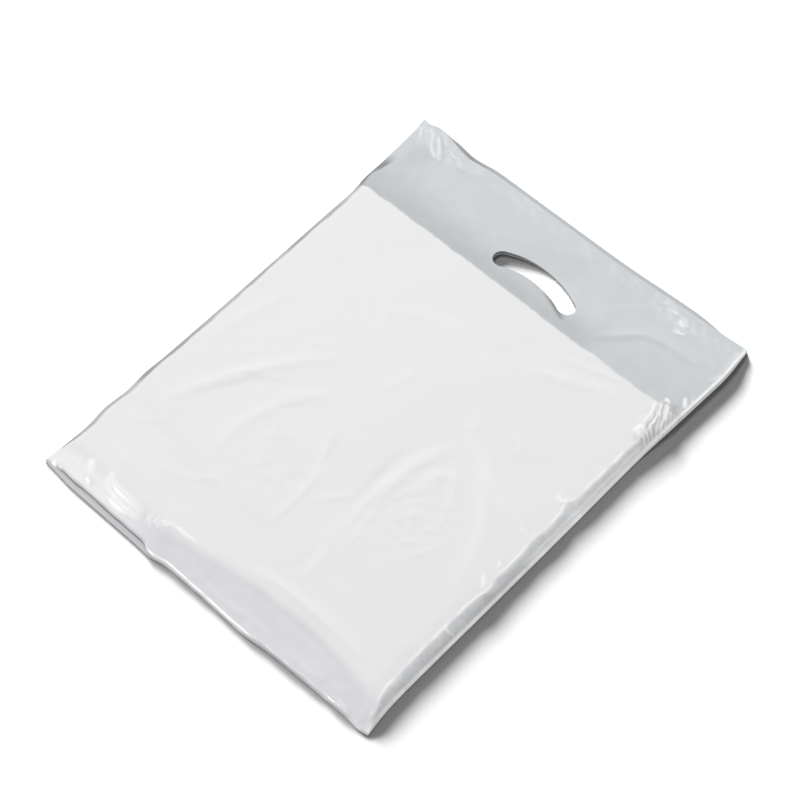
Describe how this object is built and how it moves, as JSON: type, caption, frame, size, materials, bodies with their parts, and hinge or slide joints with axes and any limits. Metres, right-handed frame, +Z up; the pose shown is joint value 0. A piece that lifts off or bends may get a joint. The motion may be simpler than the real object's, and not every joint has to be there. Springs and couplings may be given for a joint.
{
  "type": "plastic carrier bag",
  "caption": "Flat white film carrier bag with a kidney-shaped die-cut handle hole, welded sides, a tucked bottom gusset and an open mouth, lying on its back.",
  "frame": {"origin": "on the floor, under the middle of the bag's outline", "axes": "+X across the bag to its right weld, +Y from the bottom fold to the mouth, +Z up out of the front panel"},
  "size_m": [0.381, 0.496, 0.0144],
  "materials": {
    "film": "white blown polyethylene film, half glossy, crinkled, greyer where it is empty"
  },
  "bodies": {
    "root": {"bag": "film"}
  },
  "joints": []
}
